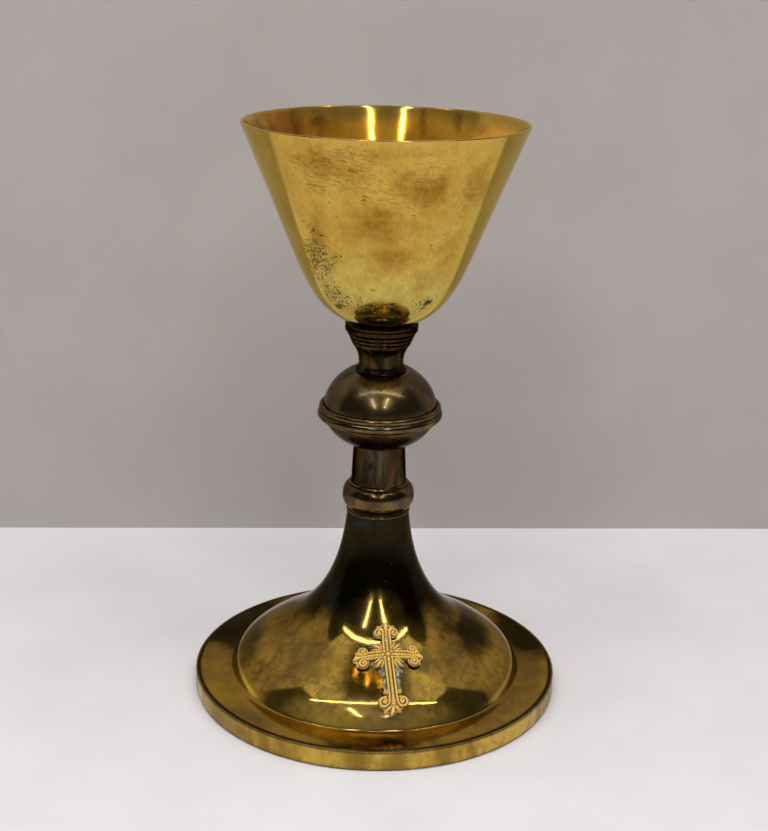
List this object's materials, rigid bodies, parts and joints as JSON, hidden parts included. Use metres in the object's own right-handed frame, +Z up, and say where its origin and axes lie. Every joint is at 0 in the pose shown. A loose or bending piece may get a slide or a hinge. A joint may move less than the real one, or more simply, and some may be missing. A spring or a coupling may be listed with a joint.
{
  "type": "chalice",
  "caption": "Altar chalice: conical cup that unscrews from a knopped stem, on a domed round foot with a small budded cross.",
  "frame": {"origin": "on the table, on the chalice's axis", "axes": "+Z up along the chalice's axis; -Y is the front, where the cross is"},
  "size_m": [0.132, 0.132, 0.205],
  "materials": {
    "gilt": "worn polished gilding",
    "aged_brass": "tarnished polish",
    "dark_brass": "dark tarnish",
    "rim_brass": "mottled matte",
    "cast_gilt": "cast, worn gilding",
    "solder": "dull solder",
    "raw_brass": "turned, unpolished",
    "steel": "plain turned"
  },
  "bodies": {
    "stem_and_foot": {"foot_rim_band": "rim_brass", "foot_shell": "aged_brass", "cross": "cast_gilt", "cross_solder": "solder", "stem_bead_ring": "aged_brass", "stem_tube": "dark_brass", "knop_lower_shell": "aged_brass", "knop_upper_shell": "aged_brass", "knop_band": "aged_brass", "knop_core": "raw_brass", "upper_neck": "dark_brass", "rod_coupling": "raw_brass", "tie_rod": "steel"},
    "seat_ring": {"cup_seat_ring": "dark_brass"},
    "cup": {"bowl_stud": "raw_brass", "bowl": "gilt"},
    "washer": {"clamp_washer": "raw_brass"},
    "nut": {"lock_nut": "steel"}
  },
  "joints": [
    {"name": "cup_turn", "type": "hinge", "parent": "stem_and_foot", "child": "seat_ring", "pos_m": [0, 0, 0.1338], "axis": [0, 0, 1], "range_deg": [0, 1944]},
    {"name": "cup_rise", "type": "slide", "parent": "seat_ring", "child": "cup", "axis": [0, 0, 1], "range_m": [0, 0.0054]},
    {"name": "nut_travel", "type": "slide", "parent": "stem_and_foot", "child": "washer", "axis": [0, 0, -1], "range_m": [0, 0.008]},
    {"name": "nut_turn", "type": "hinge", "parent": "washer", "child": "nut", "pos_m": [0, 0, 0.0405], "axis": [0, 0, -1], "range_deg": [0, 2880]}
  ],
  "couplings": [
    {"joint": "cup_turn", "follows": "cup_rise", "rad_per_m": 6283.2},
    {"joint": "nut_turn", "follows": "nut_travel", "rad_per_m": 6283.2}
  ]
}
